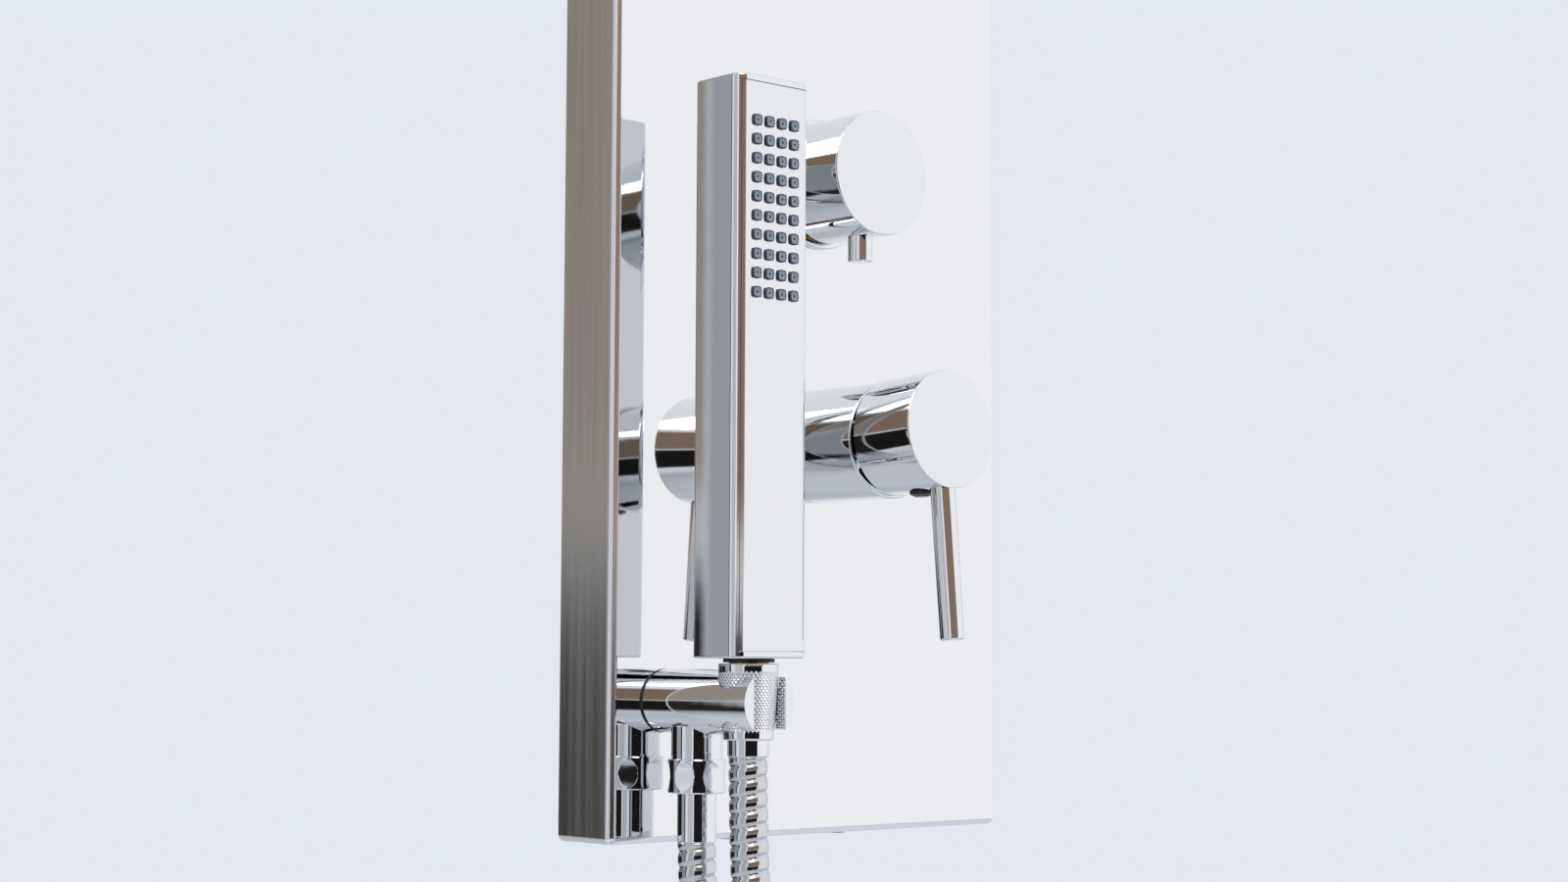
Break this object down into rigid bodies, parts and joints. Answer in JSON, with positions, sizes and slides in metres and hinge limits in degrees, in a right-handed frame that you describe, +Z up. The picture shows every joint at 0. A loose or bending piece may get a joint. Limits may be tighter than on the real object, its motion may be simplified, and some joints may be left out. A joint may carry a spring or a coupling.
{
  "type": "shower panel column",
  "caption": "Wall-mounted shower panel: shallow polished tray with single-lever mixer, diverter knob, hand shower in a cradle arm on a metal hose, and overhead head.",
  "frame": {"origin": "on the wall face, midway between the two holes of the lower wall bracket", "axes": "+Z up, +Y into the wall, so the panel faces -Y, and +X to the right of someone facing the panel"},
  "size_m": [0.2643, 0.462, 1.4901],
  "materials": {
    "polished_sheet": "mirror-polished stainless sheet",
    "bracket_steel": "plain stainless sheet and rod",
    "chrome_plate": "polished chrome on brass",
    "hose_steel": "double-lock metal hose",
    "raw_brass": "unplated cast and turned brass",
    "cartridge_plastic": "engineering plastic",
    "nozzle_silicone": "dark slate silicone",
    "seal_rubber": "black rubber",
    "plug_dark": "dark plug",
    "tie_fabric": "woven tie"
  },
  "bodies": {
    "root": {"panel_shell": "polished_sheet", "hanger_bar": "bracket_steel", "upper_wall_bracket": "bracket_steel", "lower_wall_bracket": "bracket_steel", "lower_fixing_screws": "bracket_steel", "mixer_body": "raw_brass", "mixer_cartridge": "cartridge_plastic", "cartridge_nut": "raw_brass", "mixer_sleeve": "chrome_plate", "hot_inlet_nipple": "raw_brass", "cold_inlet_nipple": "raw_brass", "diverter_body": "raw_brass", "diverter_mounting_nut": "raw_brass", "diverter_rosette": "chrome_plate", "diverter_cartridge": "cartridge_plastic", "holder_arm": "chrome_plate", "arm_gasket": "seal_rubber", "panel_nuts": "raw_brass", "panel_elbows": "raw_brass", "mixed_water_pipe": "bracket_steel", "rain_pipe": "bracket_steel", "hand_shower_pipe": "bracket_steel", "pipe_nuts": "raw_brass", "outlet_union_nut": "chrome_plate", "outlet_washer": "seal_rubber", "outlet_ferrule": "chrome_plate", "hose_outlet_run": "hose_steel", "hose_coil": "hose_steel", "hose_handset_run": "hose_steel", "coil_tie": "tie_fabric", "rain_arm": "chrome_plate", "rain_arm_flange": "chrome_plate", "rain_ball": "chrome_plate"},
    "mixer_carrier": {"spindle_carrier": "cartridge_plastic", "stem_pin": "bracket_steel"},
    "mixer_handle": {"control_stem": "bracket_steel", "handle_cap": "chrome_plate", "mixer_lever": "chrome_plate", "handle_set_screw": "bracket_steel", "set_screw_plug": "plug_dark"},
    "diverter_turning": {"diverter_spindle": "raw_brass", "diverter_knob": "chrome_plate", "diverter_pin": "chrome_plate"},
    "hose_end": {"conical_nut": "chrome_plate", "handset_washer": "seal_rubber", "handset_ferrule": "chrome_plate"},
    "hand_shower": {"handset_body": "chrome_plate", "handset_water_chamber": "cartridge_plastic", "handset_nozzle_mat": "nozzle_silicone", "handset_face_plate": "chrome_plate", "handset_stem": "raw_brass", "handset_seal_ring": "seal_rubber"},
    "rain_seat": {"swivel_seat": "cartridge_plastic"},
    "rain_head": {"swivel_collar": "chrome_plate", "rain_head_shell": "chrome_plate", "rain_head_plate": "chrome_plate", "rain_nozzle_mat": "nozzle_silicone"}
  },
  "joints": [
    {"name": "mixer_temperature", "type": "hinge", "parent": "root", "child": "mixer_carrier", "pos_m": [0, -0.058, 0.1383], "axis": [0, -1, 0], "range_deg": [-45, 45]},
    {"name": "mixer_flow", "type": "hinge", "parent": "mixer_carrier", "child": "mixer_handle", "pos_m": [0, -0.058, 0.1383], "axis": [-1, 0, 0], "range_deg": [0, 18]},
    {"name": "diverter_turn", "type": "hinge", "parent": "root", "child": "diverter_turning", "pos_m": [0, -0.054, 0.246], "axis": [0, -1, 0], "range_deg": [-90, 90]},
    {"name": "handset_lift", "type": "slide", "parent": "root", "child": "hose_end", "axis": [0, 0, 1], "range_m": [0, 0.03]},
    {"name": "handset_turn", "type": "hinge", "parent": "hose_end", "child": "hand_shower", "pos_m": [-0.078, -0.0803, 0.045], "axis": [0, 0, 1], "continuous": true},
    {"name": "rain_tilt", "type": "hinge", "parent": "root", "child": "rain_seat", "pos_m": [0, -0.362, 1.044], "axis": [1, 0, 0], "range_deg": [-12, 12]},
    {"name": "rain_roll", "type": "hinge", "parent": "rain_seat", "child": "rain_head", "pos_m": [0, -0.362, 1.044], "axis": [0, 1, 0], "range_deg": [-12, 12]}
  ]
}
